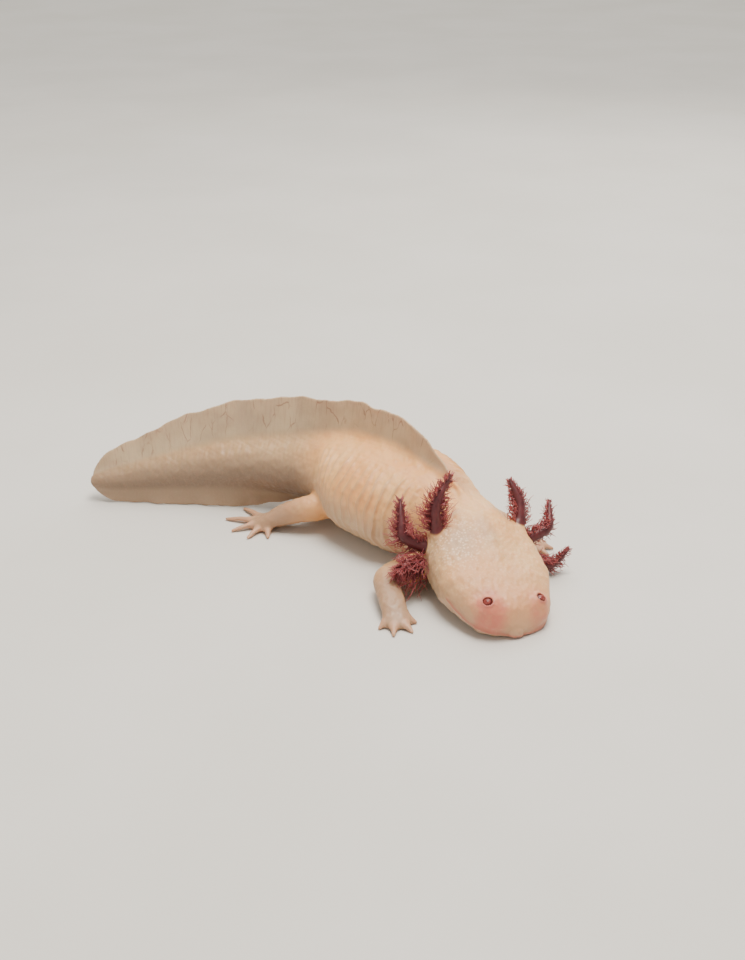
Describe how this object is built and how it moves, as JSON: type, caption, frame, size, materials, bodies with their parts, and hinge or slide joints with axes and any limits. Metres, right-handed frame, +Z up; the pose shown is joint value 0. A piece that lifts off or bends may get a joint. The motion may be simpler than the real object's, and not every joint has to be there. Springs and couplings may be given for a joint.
{
  "type": "axolotl",
  "caption": "Still life-size albino axolotl lying on its belly, with a bent body, a tall finned tail and feathery gills.",
  "frame": {"origin": "the point of the belly that rests on the floor, under the middle of the trunk", "axes": "+Z up, +X from the tail's end towards the head's side, and the head looks mostly along -Y"},
  "size_m": [0.1607, 0.1223, 0.0427],
  "materials": {
    "skin": "moist soft skin, cream pink, faintly translucent",
    "fin": "thin translucent fin with fine branching veins",
    "gill": "moist crimson stalks and filaments",
    "eye": "wet glossy eye, reddish iris and dark pupil"
  },
  "bodies": {
    "root": {"head": "skin", "lower_jaw": "skin", "neck": "skin", "chest": "skin", "trunk": "skin", "tail_base": "skin", "tail_middle": "skin", "tail_tip": "skin", "dorsal_fin_trunk": "fin", "dorsal_fin_tail": "fin", "dorsal_fin_tip": "fin", "ventral_fin_tail": "fin", "ventral_fin_tip": "fin", "arm_right_upper": "skin", "arm_right_lower": "skin", "hand_right": "skin", "arm_left_upper": "skin", "arm_left_lower": "skin", "hand_left": "skin", "leg_right_upper": "skin", "leg_right_lower": "skin", "foot_right": "skin", "leg_left_upper": "skin", "leg_left_lower": "skin", "foot_left": "skin", "eye_left": "eye", "eye_right": "eye", "gill_right_upper": "gill", "gill_right_middle": "gill", "gill_right_lower": "gill", "gill_left_upper": "gill", "gill_left_middle": "gill", "gill_left_lower": "gill"}
  },
  "joints": []
}
